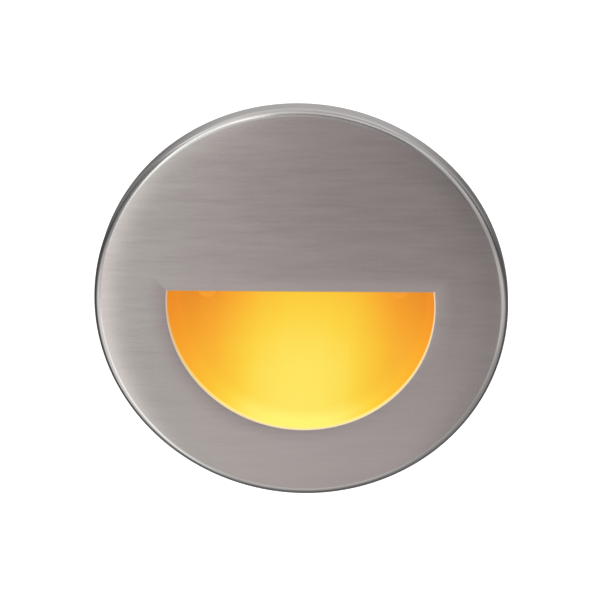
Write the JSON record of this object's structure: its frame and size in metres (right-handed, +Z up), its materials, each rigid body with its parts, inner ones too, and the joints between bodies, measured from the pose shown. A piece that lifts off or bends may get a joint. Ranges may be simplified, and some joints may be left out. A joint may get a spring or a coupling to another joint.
{
  "type": "recessed step light",
  "caption": "Round recessed wall step light: brushed dished face plate with a D-shaped opening over a sloping glowing scoop, in a flanged can with finned cover and cable gland.",
  "frame": {"origin": "centre of the wall screws' circle, on the wall's surface, which the flange's rear face rests on", "axes": "+Z up, the plate faces -Y, +Y goes into the wall along the can"},
  "size_m": [0.127, 0.061, 0.127],
  "materials": {
    "plate_steel": "fine straight brushed grain, polished rounded rim",
    "cast_body": "die-cast, dull grey powder coat",
    "black_rubber": "moulded, matte",
    "spring_steel": "rolled, bright",
    "reflector_white": "moulded satin white",
    "zinc_screw": "zinc plated",
    "frosted_lens": "frosted",
    "white_board": "white solder mask on a metal core",
    "thermal_pad": "soft silicone sheet",
    "amber_emitter": "amber phosphor dome",
    "connector_plastic": "moulded nylon",
    "green_board": "green solder mask",
    "capacitor_sleeve": "shrunk sleeve",
    "terminal_plastic": "moulded",
    "gland_plastic": "moulded nylon",
    "chip_black": "moulded",
    "red_lead": "insulated wire",
    "black_lead": "insulated wire"
  },
  "bodies": {
    "body": {"housing": "cast_body", "wall_gasket": "black_rubber", "plate_springs": "spring_steel", "scoop": "reflector_white", "scoop_screws": "zinc_screw", "scoop_lens": "frosted_lens", "lens_gasket": "black_rubber", "lens_screws": "zinc_screw", "led_board": "white_board", "thermal_pad": "thermal_pad", "led_emitters": "amber_emitter", "led_board_screws": "zinc_screw", "led_connector": "connector_plastic", "driver_board": "green_board", "driver_board_screws": "zinc_screw", "filter_capacitor": "capacitor_sleeve", "supply_terminal": "terminal_plastic", "lead_connector": "connector_plastic", "rear_cover": "cast_body", "rear_gasket": "black_rubber", "rear_cover_screws": "zinc_screw", "gland_body": "gland_plastic", "gland_locknut": "gland_plastic", "gland_seal": "black_rubber", "gland_nut": "gland_plastic", "bridge_rectifier": "chip_black", "power_inductor": "chip_black", "driver_chip": "chip_black", "led_lead_red": "red_lead", "led_lead_black": "black_lead"},
    "plate": {"face_plate": "plate_steel"}
  },
  "joints": [
    {"name": "plate_pull", "type": "slide", "parent": "body", "child": "plate", "axis": [0, -1, 0], "range_m": [0, 0.03]}
  ]
}
